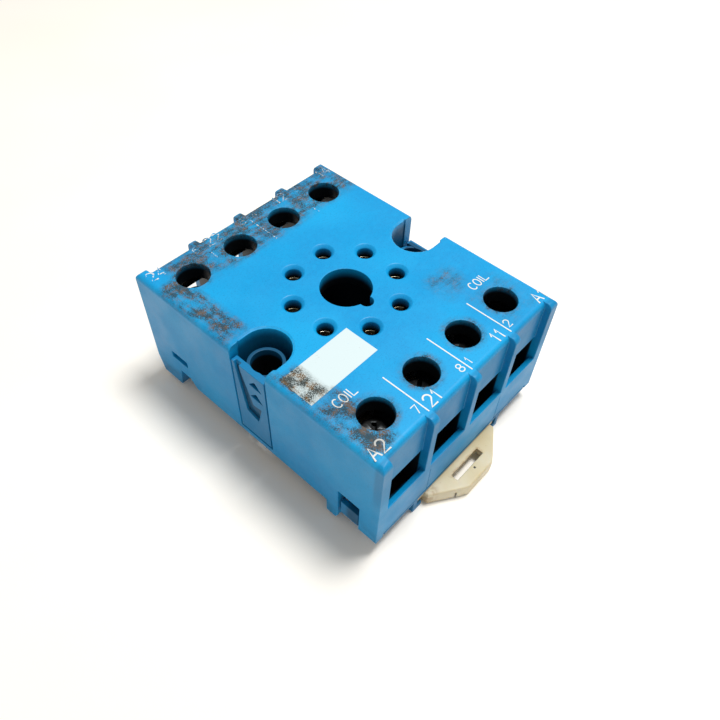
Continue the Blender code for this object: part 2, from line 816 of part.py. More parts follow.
def main():
    blue = make_material("blue_polyamide", (0.02, 0.36, 0.75), 0.45)
    nylon = make_material("natural_nylon", (0.72, 0.66, 0.50), 0.5)
    brass = make_material("tinned_brass", (0.72, 0.66, 0.48), 0.35, 1.0)
    steel = make_material("zinc_plated_steel", (0.62, 0.62, 0.60), 0.35, 1.0)

    build_housing(blue)
    build_base_plate(blue)
    build_rail_clip(nylon)
    for name, column, end, pin in TERMINALS:
        build_contact_strip(name, column, end, pin, brass)
    place_copies("pin_sleeve", sleeve_mesh(), brass, lambda c, e, pin: (*pin_place(pin), SLEEVE_LOW))
    place_copies(
        "terminal_screw",
        screw_mesh(),
        steel,
        lambda c, e, p: (terminal_x(c), e * TERMINAL_Y, SCREW_HEAD_LOW),
    )
    place_copies(
        "clamp_yoke",
        yoke_mesh(),
        steel,
        lambda c, e, p: (terminal_x(c), e * TERMINAL_Y, YOKE_LOW),
    )
    for obj in PARTS.objects:
        shade_round(obj)


main()
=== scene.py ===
# %% [markdown]
# # A plug-in relay socket, worn from service
# The object is a flat socket for an eight-pin industrial relay. It clips onto a mounting rail, takes
# wires in screw clamps at both ends, and holds the relay's pins in a ring of spring sleeves. The
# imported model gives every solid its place. This script adds what the eye needs: soft edges, real
# plastics and metals, printed marks, and the dust and oil of years in a cabinet.

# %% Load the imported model
import math
import random

import bmesh
import bpy
from mathutils import Matrix, Vector


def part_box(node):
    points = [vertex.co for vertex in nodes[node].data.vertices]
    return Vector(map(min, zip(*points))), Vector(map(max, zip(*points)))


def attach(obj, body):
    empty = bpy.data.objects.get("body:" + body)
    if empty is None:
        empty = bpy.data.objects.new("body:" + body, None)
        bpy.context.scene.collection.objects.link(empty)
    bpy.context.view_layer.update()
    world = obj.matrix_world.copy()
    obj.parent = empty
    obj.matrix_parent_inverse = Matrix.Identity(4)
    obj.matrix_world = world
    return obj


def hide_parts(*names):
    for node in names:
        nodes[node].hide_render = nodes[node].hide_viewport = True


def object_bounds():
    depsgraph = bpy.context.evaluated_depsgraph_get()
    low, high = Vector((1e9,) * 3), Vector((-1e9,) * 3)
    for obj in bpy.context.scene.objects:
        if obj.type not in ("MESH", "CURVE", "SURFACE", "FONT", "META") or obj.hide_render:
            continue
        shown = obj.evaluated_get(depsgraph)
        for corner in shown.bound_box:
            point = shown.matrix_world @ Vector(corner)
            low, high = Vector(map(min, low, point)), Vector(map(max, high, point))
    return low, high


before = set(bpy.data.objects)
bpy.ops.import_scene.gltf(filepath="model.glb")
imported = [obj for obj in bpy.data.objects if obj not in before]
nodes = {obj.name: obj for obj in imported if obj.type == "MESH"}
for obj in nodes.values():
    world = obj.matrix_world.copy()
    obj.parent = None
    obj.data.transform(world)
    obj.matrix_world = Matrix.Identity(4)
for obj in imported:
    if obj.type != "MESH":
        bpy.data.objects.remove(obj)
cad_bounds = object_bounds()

MM = 0.001
scene = bpy.context.scene

# %% [markdown]
# ## Camera
# A product picture like this is taken from close by, above one corner. The short distance gives
# strong perspective, so the camera is set from a real distance and a wide field of view, and not from
# a long lens. Its three axes are worked out from a compass angle, a height angle and a small roll.

# %% Camera
CAMERA_TURN = math.radians(-50.18)
CAMERA_HEIGHT = math.radians(50.93)
CAMERA_ROLL = math.radians(2.9)
CAMERA_PLACE = Vector((-54.68, -49.07, 92.88)) * MM
SENSOR_WIDTH = 36.0
LENS = 33.86

backward = Vector(
    (
        math.sin(CAMERA_TURN) * math.cos(CAMERA_HEIGHT),
        -math.cos(CAMERA_TURN) * math.cos(CAMERA_HEIGHT),
        math.sin(CAMERA_HEIGHT),
    )
)
level_right = Vector((0, 0, 1)).cross(backward).normalized()
level_up = backward.cross(level_right)
right = level_right * math.cos(CAMERA_ROLL) + level_up * math.sin(CAMERA_ROLL)
up = level_up * math.cos(CAMERA_ROLL) - level_right * math.sin(CAMERA_ROLL)

camera_data = bpy.data.cameras.new("camera")
camera_data.sensor_width = SENSOR_WIDTH
camera_data.lens = LENS
camera_data.clip_start = 0.001
camera = bpy.data.objects.new("camera", camera_data)
camera.matrix_world = Matrix.Translation(CAMERA_PLACE) @ Matrix(
    (right, up, backward)
).transposed().to_4x4()
scene.collection.objects.link(camera)
scene.camera = camera
print("camera", [round(c / MM, 1) for c in camera.location], "mm, lens", LENS)

# %% [markdown]
# ## Helpers for materials
# Colours are picked as sRGB hex values, as in a paint program, and one function turns them into the
# linear numbers that Blender's shaders work in. One more function adds a node, sets its values and
# links its inputs, which keeps each material readable from top to bottom.


# %% Colour and node helpers
def hex_colour(text):
    """Linear RGBA from an sRGB hex value."""
    channels = [int(text[i : i + 2], 16) / 255 for i in (1, 3, 5)]
    linear = [c / 12.92 if c <= 0.04045 else ((c + 0.055) / 1.055) ** 2.4 for c in channels]
    return (*linear, 1.0)


def add_node(material, kind, inputs=None, **settings):
    """Adds a node. An input's value is a number, a colour or another node's output socket."""
    tree = material.node_tree
    node = tree.nodes.new(kind)
    for name, value in settings.items():
        setattr(node, name, value)
    for key, value in (inputs or {}).items():
        if isinstance(value, bpy.types.NodeSocket):
            tree.links.new(value, node.inputs[key])
        else:
            node.inputs[key].default_value = value
    return node


def new_material(name, roughness, metallic=0.0, specular=0.5):
    """A material with an empty Principled shader, ready for its colour and bump."""
    material = bpy.data.materials.new(name)
    material.use_nodes = True
    shader = material.node_tree.nodes["Principled BSDF"]
    shader.inputs["Metallic"].default_value = metallic
    shader.inputs["Roughness"].default_value = roughness
    shader.inputs["Specular IOR Level"].default_value = specular
    return material, shader


def link(material, output, socket):
    """Joins a node's output to an input."""
    material.node_tree.links.new(output, socket)


def millimetres(material):
    """The place on the object in millimetres, so that a pattern's scale is 1 / its size in mm."""
    place = add_node(material, "ShaderNodeTexCoord")
    scaled = add_node(
        material,
        "ShaderNodeVectorMath",
        {0: place.outputs["Object"], 1: (1000.0, 1000.0, 1000.0)},
        operation="MULTIPLY",
    )
    return scaled.outputs[0]


def noise(material, place, size, detail=3.0, distortion=0.0):
    """Soft random values from 0 to 1 whose blobs are about this many millimetres across."""
    node = add_node(
        material,
        "ShaderNodeTexNoise",
        {"Vector": place, "Scale": 1.0 / size, "Detail": detail, "Distortion": distortion},
    )
    return node.outputs["Fac"]


def ramp(material, value, low, high, out_low=0.0, out_high=1.0):
    """Maps low..high onto out_low..out_high and holds the ends."""
    node = add_node(
        material,
        "ShaderNodeMapRange",
        {"Value": value, 1: low, 2: high, 3: out_low, 4: out_high},
        clamp=True,
        interpolation_type="SMOOTHSTEP",
    )
    return node.outputs[0]


def maths(material, operation, first, second=0.0):
    """One step of arithmetic on node outputs or plain numbers."""
    node = add_node(material, "ShaderNodeMath", {0: first, 1: second}, operation=operation)
    return node.outputs[0]


def mix(material, factor, first, second):
    """The first colour where factor is 0 and the second where it is 1."""
    inputs = {0: factor, 6: first, 7: second}
    return add_node(material, "ShaderNodeMix", inputs, data_type="RGBA").outputs[2]


def bump(material, shader, height, strength, depth_mm):
    """Turns a height pattern into a bump whose full height is depth_mm."""
    node = add_node(
        material,
        "ShaderNodeBump",
        {"Height": height, "Strength": strength, "Distance": depth_mm * MM},
    )
    link(material, node.outputs[0], shader.inputs["Normal"])


print("helpers ready")

# %% [markdown]
# ## Where the dirt is
# Dirt on a used socket is not spread evenly. It gathers where fingers and oily wires pass: along the
# rear row of terminals, down the left edge and beside the first terminal. A mask is built from soft
# boxes on the top face, each with its own strength. Wiping has drawn it out into streaks, across the
# socket at the rear and along it at the left. Being set in millimetres on the object, it stays put
# from every side.


# %% Soft zones for dirt
def soft_box(material, parts, low, high, edge):
    """1 inside a box on the object and 0 outside it, fading over edge millimetres."""
    result = None
    for axis in range(len(low)):
        rising = ramp(material, parts[axis], low[axis] - edge, low[axis] + edge)
        falling = ramp(material, parts[axis], high[axis] - edge, high[axis] + edge, 1.0, 0.0)
        both = maths(material, "MULTIPLY", rising, falling)
        result = both if result is None else maths(material, "MULTIPLY", result, both)
    return result


# Each zone: lowest x and y, highest x and y, how far its edge fades, and how dirty it is. Above 1,
# the noise leaves less of the zone clean.
WIPED_ACROSS = (
    ((-16.5, 16.2), (20.5, 24.8), 1.6, 0.85),
    ((-3.2, 15.8), (3.2, 24.4), 1.2, 0.95),
    ((7.2, 16.2), (12.8, 24.2), 1.2, 0.92),
    ((-16.5, 21.0), (18.0, 24.8), 1.0, 0.85),
    ((8.8, -13.2), (14.2, -7.8), 1.4, 0.45),
    ((11.0, -22.6), (18.4, -14.4), 1.8, 0.30),
)
WIPED_ALONG = (
    ((-19.9, 4.6), (-16.0, 19.8), 1.0, 1.15),
    ((-19.6, -12.0), (-16.0, -5.4), 0.8, 1.3),
    ((-19.6, -23.2), (-15.2, -12.0), 1.2, 1.25),
    ((-20.2, -24.0), (-18.6, 20.0), 0.6, 0.45),
)


def zone_level(material, place, zones):
    """How dirty the top face is in these zones, from 0 to 1, before noise breaks it up."""
    parts = add_node(material, "ShaderNodeSeparateXYZ", {0: place})
    total = None
    for low, high, edge, strength in zones:
        zone = soft_box(material, (parts.outputs[0], parts.outputs[1]), low, high, edge)
        zone = maths(material, "MULTIPLY", zone, strength)
        total = zone if total is None else maths(material, "MAXIMUM", total, zone)
    on_top = ramp(material, parts.outputs[2], 18.6, 19.4)
    return maths(material, "MULTIPLY", total, on_top)


def stretched(material, place, factors):
    """A place scaled per axis. A factor below 1 draws a pattern out along that axis."""
    node = add_node(
        material, "ShaderNodeVectorMath", {0: place, 1: factors}, operation="MULTIPLY"
    )
    return node.outputs[0]


def smear(material, place, level, factors):
    """Breaks a 0..1 level into wiped streaks, blotches and fine grains."""
    streaks = noise(material, stretched(material, place, factors), 0.7, 6.0)
    blotches = noise(material, place, 2.8, 5.0, 0.2)
    grains = noise(material, place, 0.15, 5.0)
    level = maths(material, "MULTIPLY", level, ramp(material, blotches, 0.36, 0.60, 0.40, 1.25))
    level = maths(material, "MULTIPLY", level, ramp(material, streaks, 0.38, 0.62, 0.58, 1.15))
    level = maths(material, "MULTIPLY", level, ramp(material, grains, 0.42, 0.58, 0.50, 1.25))
    return maths(material, "MINIMUM", level, 0.93)


TERMINAL_X = (4.78, 14.34)
TERMINAL_Y = 18.6


def hole_rings(material, place):
    """Grime that tools leave round the eight screw holes, strongest at the edge of each hole."""
    x, y, z = add_node(material, "ShaderNodeSeparateXYZ", {0: place}).outputs
    size = maths(material, "ABSOLUTE", x)
    near, far = (
        maths(material, "ABSOLUTE", maths(material, "SUBTRACT", size, middle))
        for middle in TERMINAL_X
    )
    across = maths(material, "MINIMUM", near, far)
    along = maths(material, "SUBTRACT", maths(material, "ABSOLUTE", y), TERMINAL_Y)
    squares = [maths(material, "MULTIPLY", side, side) for side in (across, along)]
    radius = maths(material, "SQRT", maths(material, "ADD", *squares))
    ring = ramp(material, radius, 3.9, 2.6, 0.0, 0.62)
    return maths(material, "MULTIPLY", ring, ramp(material, z, 18.6, 19.4))


def top_dirt(material, place):
    """How much dirt covers the top face, from 0 to 1. Other faces get none."""
    level = zone_level(material, place, WIPED_ACROSS)
    level = maths(material, "MAXIMUM", level, hole_rings(material, place))
    across = smear(material, place, level, (0.22, 1.0, 1.0))
    along = smear(material, place, zone_level(material, place, WIPED_ALONG), (1.0, 0.22, 1.0))
    return maths(material, "MAXIMUM", across, along)


def dirt_colour(material, place):
    """Grey soot and brown oil, mixed in patches of about a millimetre."""
    patches = ramp(material, noise(material, place, 1.1, 5.0), 0.44, 0.64)
    return mix(material, patches, hex_colour("#2B3636"), hex_colour("#64491D"))


print("dirt zones:", len(WIPED_ACROSS) + len(WIPED_ALONG))

# %% [markdown]
# ## Blue polyamide
# The housing and the base plate are injection-moulded polyamide, PA66, coloured in the mass: a bright
# sky blue with a satin skin. The mould is spark-eroded, which leaves a very fine grain, drawn here at
# 0.3 mm because the real 0.1 mm would not show. Moulded plastic is never one flat colour, so the blue
# drifts slightly over centimetres, and corners that get rubbed are paler. Shade is painted into the
# colour: near black deep in the terminal chambers, on the base plate inside and down the holes, and a
# darker blue on the sides and the upper front faces.


# %% Blue polyamide material
def recess_shade(material, place, top, half_x, half_y):
    """Painted shade in the hollows: 0 on the outer faces, rising to 1 deep inside the block, and less
    in the two screw wells.
    """
    parts = add_node(material, "ShaderNodeSeparateXYZ", {0: place})
    x, y, z = parts.outputs
    inside = soft_box(material, (x, y), (-half_x, -half_y), (half_x, half_y), 0.15)
    deep = ramp(material, z, top - 0.15, top - 2.2)
    near_screws = ramp(material, maths(material, "ABSOLUTE", y), 14.4, 15.2)
    shallow = maths(material, "MULTIPLY", near_screws, ramp(material, z, top - 0.1, top - 1.3))
    painted_shade = maths(material, "MULTIPLY", inside, maths(material, "MAXIMUM", deep, shallow))
    size = maths(material, "ABSOLUTE", x)
    well = soft_box(material, (size, y), (12.6, -4.0), (21.0, 4.0), 0.2)
    return maths(material, "MULTIPLY", painted_shade, ramp(material, well, 0.0, 1.0, 1.0, 0.62))


# Painted shade colours: a darker blue for the sides and upper front faces, near black for the hollows.
SHADE_BLUE = "#025A8E"
SHADE_BLACK = "#070E14"


def blue_polyamide(name, base, deep, dark, pale, dirty, painted_shade):
    """Blue plastic in four shades, with painted shade: a darker blue on its sides and upper front
    faces, and near black in the hollows that its last argument gives. Dirty scales its grime.
    """
    material, shader = new_material(name, 0.45, specular=0.32)
    place = millimetres(material)
    _, depth, height = add_node(material, "ShaderNodeSeparateXYZ", {0: place}).outputs
    drift = ramp(material, noise(material, place, 14.0, 2.0), 0.3, 0.7)
    colour = mix(material, drift, hex_colour(deep), hex_colour(base))
    mottle = ramp(material, noise(material, place, 0.9, 5.0), 0.35, 0.75, 0.0, 0.35)
    colour = mix(material, mottle, colour, hex_colour(base))
    pores = ramp(material, noise(material, place, 0.22, 4.0), 0.52, 0.68, 0.0, 0.30)
    colour = mix(material, pores, colour, hex_colour(dark))

    bevelled = add_node(material, "ShaderNodeBevel", {"Radius": 0.35 * MM}, samples=4)
    true_normal = add_node(material, "ShaderNodeNewGeometry").outputs["True Normal"]
    facing = add_node(
        material,
        "ShaderNodeVectorMath",
        {0: bevelled.outputs[0], 1: true_normal},
        operation="DOT_PRODUCT",
    ).outputs["Value"]
    rubbed = ramp(material, facing, 0.98, 0.80)
    patchy = ramp(material, noise(material, place, 1.6, 4.0), 0.40, 0.62)
    rubbed = maths(material, "MULTIPLY", rubbed, patchy)
    colour = mix(material, maths(material, "MULTIPLY", rubbed, 0.35), colour, hex_colour(pale))

    drawn = stretched(material, place, (0.08, 1.6, 0.9))
    scratches = ramp(material, noise(material, drawn, 0.35, 2.0, 1.5), 0.71, 0.76)
    colour = mix(material, maths(material, "MULTIPLY", scratches, 0.22), colour, hex_colour(pale))

    dirt = maths(material, "MULTIPLY", top_dirt(material, place), dirty)
    # Darker towards the bottom, in the dirt colour, broken up by noise.
    lower_darkening = ramp(material, height, 4.0, -3.0, 0.0, 0.42)
    lower_darkening = maths(
        material, "MULTIPLY", lower_darkening, ramp(material, noise(material, place, 3.0, 4.0), 0.35, 0.7)
    )
    dirt = maths(material, "MAXIMUM", dirt, maths(material, "MULTIPLY", lower_darkening, dirty))
    # Painted shade: every face below the top edge is mixed a little towards a darker blue.
    side_shade = ramp(material, height, 19.5, 18.2, 0.0, 0.26)
    colour = mix(material, side_shade, colour, hex_colour(SHADE_BLUE))
    # Painted shade: the upper part of the front faces is mixed towards a darker blue.
    front = ramp(material, depth, -23.6, -24.2)
    front = maths(material, "MULTIPLY", front, ramp(material, height, 8.0, 14.0, 0.05, 0.40))
    colour = mix(material, front, colour, hex_colour(SHADE_BLUE))
    colour = mix(material, dirt, colour, dirt_colour(material, place))
    # Painted shade: the hollows inside the block are mixed towards near black.
    colour = mix(material, painted_shade(material, place), colour, hex_colour(SHADE_BLACK))
    link(material, colour, shader.inputs["Base Color"])

    rough = ramp(material, noise(material, place, 5.0, 4.0), 0.3, 0.7, 0.36, 0.50)
    rough = maths(material, "ADD", rough, maths(material, "MULTIPLY", dirt, 0.35))
    link(material, rough, shader.inputs["Roughness"])
    grain = noise(material, place, 0.3, 3.0)
    waves = noise(material, place, 7.0, 1.0)
    relief = maths(material, "ADD", grain, maths(material, "MULTIPLY", waves, 2.5))
    relief = maths(material, "ADD", relief, maths(material, "MULTIPLY", dirt, 0.8))
    bump(material, shader, relief, 0.5, 0.02)
    return material


def housing_recess_shade(material, place):
    """Painted shade below the top face, inside the outer walls."""
    return recess_shade(material, place, 19.85, 18.8, 23.9)


TOWER_X = 17.15
TOWER_Y = -0.45
TOWER_HOLE = 2.32


def base_shade_and_flap_dirt(material, place):
    """Painted shade on the base plate's floor, its towers, their pockets and down the tower holes, and
    dirt on one notch flap.
    """
    # Painted shade: the floor, the towers, their pockets and holes are darkened; the notch flap is
    # darkened as dirt.
    floor_shade = recess_shade(material, place, 3.0, 16.0, 22.4)
    x, y, z = add_node(material, "ShaderNodeSeparateXYZ", {0: place}).outputs
    across = maths(material, "SUBTRACT", maths(material, "ABSOLUTE", x), TOWER_X)
    along = maths(material, "SUBTRACT", y, TOWER_Y)
    tower = soft_box(material, (across, along), (-3.2, -3.2), (2.0, 3.2), 0.15)
    squares = [maths(material, "MULTIPLY", side, side) for side in (across, along)]
    radius = maths(material, "SQRT", maths(material, "ADD", *squares))
    hole = ramp(material, radius, TOWER_HOLE + 0.13, TOWER_HOLE)
    hole = maths(material, "MULTIPLY", hole, ramp(material, z, 17.3, 16.0))
    pocket = soft_box(material, (across, along, z), (1.6, -2.6, 1.5), (2.84, 3.5, 16.9), 0.05)
    flap = soft_box(material, (x, y, z), (-20.4, -21.8, -0.6), (-18.9, -19.2, 2.6), 0.5)
    tower_shade_and_flap_dirt = maths(material, "MAXIMUM", maths(material, "MAXIMUM", tower, pocket), flap)
    tower_shade_and_flap_dirt = maths(material, "MULTIPLY", tower_shade_and_flap_dirt, 0.6)
    return maths(material, "MAXIMUM", floor_shade, maths(material, "MAXIMUM", tower_shade_and_flap_dirt, hole))


housing_blue = blue_polyamide(
    "blue_polyamide", "#04A5E4", "#0395D6", "#026EAA", "#5DB9E6", 1.0, housing_recess_shade
)
base_blue = blue_polyamide(
    "blue_polyamide_base", "#0587C0", "#047FB8", "#025C8E", "#50A6D4", 0.8, base_shade_and_flap_dirt
)
print("materials:", housing_blue.name, base_blue.name)

# %% [markdown]
# ## Natural nylon
# The rail clip is nylon with no pigment, so it has nylon's own cream colour, a little yellower where
# it has aged. It is slightly translucent: light enters and softens its edges, which subsurface
# scattering over a millimetre gives. Brown oil has crept into its slot and its left end.


# %% Natural nylon material
def natural_nylon():
    """Cream plastic, oil stained at its slot and left end, with one small dark dot painted as the shade
    in a tiny hole.
    """
    material, shader = new_material("natural_nylon", 0.38, specular=0.5)
    place = millimetres(material)
    age = ramp(material, noise(material, place, 6.0, 3.0), 0.3, 0.7)
    colour = mix(material, age, hex_colour("#D5CCB1"), hex_colour("#CDBE96"))
    parts = add_node(material, "ShaderNodeSeparateXYZ", {0: place})
    x, y = parts.outputs[0], parts.outputs[1]
    left_end = soft_box(material, (x, y), (-9.6, -26.6), (-6.9, -24.0), 0.7)
    slot_walls = soft_box(material, (x, y), (-3.9, -27.6), (3.7, -26.1), 0.25)
    stain = maths(material, "MAXIMUM", left_end, slot_walls)
    patches = ramp(material, noise(material, place, 1.2, 4.0, 0.8), 0.36, 0.62)
    stain = maths(material, "MULTIPLY", stain, patches)
    specks = ramp(material, noise(material, place, 0.5, 4.0), 0.70, 0.74)
    stain = maths(material, "MAXIMUM", stain, maths(material, "MULTIPLY", specks, 0.5))
    colour = mix(material, maths(material, "MULTIPLY", stain, 0.55), colour, hex_colour("#9A7440"))
    # Painted shade: a tiny hole is drawn as a near-black dot.
    hole_dot_shade = soft_box(material, (x, y), (0.02, -28.4), (0.38, -28.04), 0.06)
    colour = mix(material, hole_dot_shade, colour, hex_colour("#1A140E"))
    link(material, colour, shader.inputs["Base Color"])
    shader.inputs["Subsurface Weight"].default_value = 0.25
    shader.inputs["Subsurface Radius"].default_value = (1.0, 0.7, 0.4)
    shader.inputs["Subsurface Scale"].default_value = 0.8 * MM
    link(
        material,
        ramp(material, noise(material, place, 2.5, 3.0), 0.3, 0.7, 0.32, 0.50),
        shader.inputs["Roughness"],
    )
    bump(material, shader, noise(material, place, 0.6, 3.0), 0.4, 0.03)
    return material


nylon = natural_nylon()
print("material:", nylon.name)

# %% [markdown]
# ## Plated metals
# Screws and yokes are steel with a thin zinc plating, grey and slightly cloudy, with rust-brown specks
# where damp got through. Here their grey is painted near black, as painted shade, because they sit deep
# in the holes and chambers. Contact strips and sleeves are brass with a thin tin coat, warmer and
# brighter, and the brass shows along worn spots. Pressed sheet keeps fine rolling lines.


# %% Zinc plate and tin plate
def plated_metal(name, bright, dull, spot, spot_amount, line_axis):
    """Plating in two clouded shades, with spots and fine rolling lines along one axis."""
    material, shader = new_material(name, 0.35, metallic=1.0)
    place = millimetres(material)
    cloud = ramp(material, noise(material, place, 1.5, 4.0), 0.3, 0.7)
    colour = mix(material, cloud, hex_colour(bright), hex_colour(dull))
    spots = ramp(material, noise(material, place, 0.7, 5.0, 0.5), 0.62 - spot_amount * 0.12, 0.74)
    colour = mix(material, maths(material, "MULTIPLY", spots, 0.8), colour, hex_colour(spot))
    link(material, colour, shader.inputs["Base Color"])
    rough = ramp(material, cloud, 0.0, 1.0, 0.28, 0.46)
    rough = maths(material, "ADD", rough, maths(material, "MULTIPLY", spots, 0.3))
    link(material, rough, shader.inputs["Roughness"])
    factors = [0.08 if axis == line_axis else 1.0 for axis in range(3)]
    lines = stretched(material, place, factors)
    bump(material, shader, noise(material, lines, 0.12, 2.0), 0.35, 0.01)
    return material


# Painted shade: both zinc shades are near black, for screws and yokes that sit deep in their holes.
zinc_in_painted_shade = plated_metal("zinc_plated_steel", "#3A3D3F", "#212325", "#241C16", 1.0, 0)
tin = plated_metal("tinned_brass", "#D8D2BE", "#B6A883", "#8F6F3C", 0.4, 1)
print("materials:", zinc_in_painted_shade.name, tin.name)

# %% [markdown]
# ## Soft edges on the moulded and pressed parts
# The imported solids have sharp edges. A real moulding has edges of about a tenth of a millimetre, and
# they are what catches the light. Modifiers add them without touching the solids: Weld closes the
# seams between shaded faces, Decimate merges flat triangles into whole faces, Bevel rounds what is
# sharper than 32 degrees, and Weighted Normal keeps the flat faces looking flat.


# %% Rounded edges
def soften(obj, width_mm, segments, material):
    """Rounds a solid's edges with modifiers and gives it its material."""
    obj.data.shade_smooth()
    weld = obj.modifiers.new("weld", "WELD")
    weld.merge_threshold = 1e-6
    flat = obj.modifiers.new("whole faces", "DECIMATE")
    flat.decimate_type = "DISSOLVE"
    flat.angle_limit = math.radians(0.5)
    edge = obj.modifiers.new("soft edges", "BEVEL")
    edge.width = width_mm * MM
    edge.segments = segments
    edge.limit_method = "ANGLE"
    edge.angle_limit = math.radians(32)
    edge.use_clamp_overlap = False
    edge.miter_outer = "MITER_ARC"
    normals = obj.modifiers.new("flat faces", "WEIGHTED_NORMAL")
    normals.weight = 80
    obj.data.materials.clear()
    obj.data.materials.append(material)


# Each kind of solid: the width of its edges, their segments and its material.
FINISHES = {
    "housing": (0.12, 2, housing_blue),
    "base_plate": (0.10, 2, base_blue),
    "rail_clip": (0.10, 2, nylon),
    "contact_strip": (0.06, 1, tin),
    "pin_sleeve": (0.06, 1, tin),
    "clamp_yoke": (0.08, 2, zinc_in_painted_shade),
}
softened = []
for name, obj in nodes.items():
    for start, finish in FINISHES.items():
        if name.startswith(start):
            soften(obj, *finish)
            softened.append(name)
print("softened", len(softened), "of", len(nodes), "solids")

# %% [markdown]
# ## Terminal screws
# Each clamp has an M3 screw with a low rounded head. The head has a long slot crossed by a shorter
# one, so that either screwdriver fits. It is turned from a profile, and the thread is a real helix
# ridge at the M3 pitch of 0.5 mm, because it shows through the wire windows.

# %% Screw sizes
HEAD_RADIUS = 2.5
HEAD_HEIGHT = 1.8
SHANK_RADIUS = 1.45
THREAD_PITCH = 0.5
THREAD_DEPTH = 0.28
SLOT_HALF_WIDTH = 0.35
SLOT_DEPTH = 0.9
CROSS_HALF_LENGTH = 1.5
CROWN_RADIUS = 0.65
FOOT_CHAMFER = 0.12
TURN_STEPS = 48
TERMINALS = [name.split("_")[-1] for name in nodes if name.startswith("terminal_screw")]
print("terminals:", TERMINALS)


# %% Build one screw
def link_mesh(name, bm):
    """A new object from a bmesh, which is freed."""
    mesh = bpy.data.meshes.new(name)
    bm.to_mesh(mesh)
    bm.free()
    obj = bpy.data.objects.new(name, mesh)
    scene.collection.objects.link(obj)
    return obj


def applied(obj):
    """The object's mesh with its modifiers applied. The object is removed."""
    bpy.context.view_layer.update()
    graph = bpy.context.evaluated_depsgraph_get()
    mesh = bpy.data.meshes.new_from_object(obj.evaluated_get(graph))
    bpy.data.objects.remove(obj, do_unlink=True)
    return mesh


def box_mesh(name, low, high):
    """A block between two corners in millimetres."""
    bm = bmesh.new()
    bmesh.ops.create_cube(bm, size=1.0)
    low, high = Vector(low) * MM, Vector(high) * MM
    bmesh.ops.scale(bm, vec=high - low, verts=bm.verts)
    bmesh.ops.translate(bm, vec=(low + high) / 2, verts=bm.verts)
    return link_mesh(name, bm)


def screw_head():
    """The head, with a rounded crown and a slightly chamfered foot, around its own axis."""
    profile = [(0.0, HEAD_HEIGHT)]
    for step in range(7):
        angle = math.radians(90 - 15 * step)
        profile.append(
            (
                HEAD_RADIUS + CROWN_RADIUS * (math.cos(angle) - 1),
                HEAD_HEIGHT + CROWN_RADIUS * (math.sin(angle) - 1),
            )
        )
    profile += [(HEAD_RADIUS, FOOT_CHAMFER), (HEAD_RADIUS - FOOT_CHAMFER, 0.0), (0.0, 0.0)]
    bm = bmesh.new()
    verts = [bm.verts.new((r * MM, 0, z * MM)) for r, z in profile]
    edges = [bm.edges.new(pair) for pair in zip(verts, verts[1:])]
    bmesh.ops.spin(
        bm,
        geom=verts + edges,
        cent=(0, 0, 0),
        axis=(0, 0, 1),
        angle=2 * math.pi,
        steps=TURN_STEPS,
    )
    bmesh.ops.remove_doubles(bm, verts=bm.verts, dist=1e-7)
    bmesh.ops.recalc_face_normals(bm, faces=bm.faces)
    head = link_mesh("screw_head", bm)
    cutters = [
        box_mesh(
            "slot",
            (-HEAD_RADIUS - 1, -SLOT_HALF_WIDTH, HEAD_HEIGHT - SLOT_DEPTH),
            (HEAD_RADIUS + 1, SLOT_HALF_WIDTH, HEAD_HEIGHT + 1),
        ),
        box_mesh(
            "cross",
            (-SLOT_HALF_WIDTH, -CROSS_HALF_LENGTH, HEAD_HEIGHT - SLOT_DEPTH),
            (SLOT_HALF_WIDTH, CROSS_HALF_LENGTH, HEAD_HEIGHT + 1),
        ),
    ]
    for cutter in cutters:
        cut = head.modifiers.new("cut", "BOOLEAN")
        cut.object = cutter
    edge = head.modifiers.new("edge", "BEVEL")
    edge.width = 0.06 * MM
    edge.segments = 2
    edge.angle_limit = math.radians(40)
    mesh = applied(head)
    for cutter in cutters:
        bpy.data.objects.remove(cutter, do_unlink=True)
    return mesh


def screw_shank(length):
    """The threaded shank: rings of a helix joined into one closed, pointed body."""
    per_turn = 32
    per_pitch = 6
    rows = int(length / THREAD_PITCH * per_pitch)
    bm = bmesh.new()
    rings = []
    for row in range(rows + 1):
        depth = row * THREAD_PITCH / per_pitch
        fade = min(1.0, (length - depth) / 0.8, depth / 0.5 + 0.1)
        taper = min(1.0, 0.55 + (length - depth) / 0.9)
        ring = []
        for step in range(per_turn):
            share = step / per_turn
            phase = (depth / THREAD_PITCH + share) % 1.0
            ridge = abs(2 * phase - 1) * THREAD_DEPTH * max(fade, 0.0)
            radius = (SHANK_RADIUS - ridge) * taper
            angle = 2 * math.pi * share
            ring.append(
                bm.verts.new(
                    (radius * math.cos(angle) * MM, radius * math.sin(angle) * MM, -depth * MM)
                )
            )
        rings.append(ring)
    for upper, lower in zip(rings, rings[1:]):
        for step in range(per_turn):
            after = (step + 1) % per_turn
            bm.faces.new((upper[step], lower[step], lower[after], upper[after]))
    bm.faces.new(rings[0])
    bm.faces.new(list(reversed(rings[-1])))
    bmesh.ops.recalc_face_normals(bm, faces=bm.faces)
    return applied(link_mesh("screw_shank", bm))


first_low, first_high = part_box("terminal_screw_" + TERMINALS[0])
shank_length = (first_high.z - first_low.z) / MM - HEAD_HEIGHT
bm = bmesh.new()
bm.from_mesh(screw_head())
bm.from_mesh(screw_shank(shank_length))
screw_mesh = bpy.data.meshes.new("terminal_screw_detail")
bm.to_mesh(screw_mesh)
bm.free()
screw_mesh.shade_smooth()
screw_mesh.set_sharp_from_angle(angle=math.radians(35))
screw_mesh.materials.append(zinc_in_painted_shade)

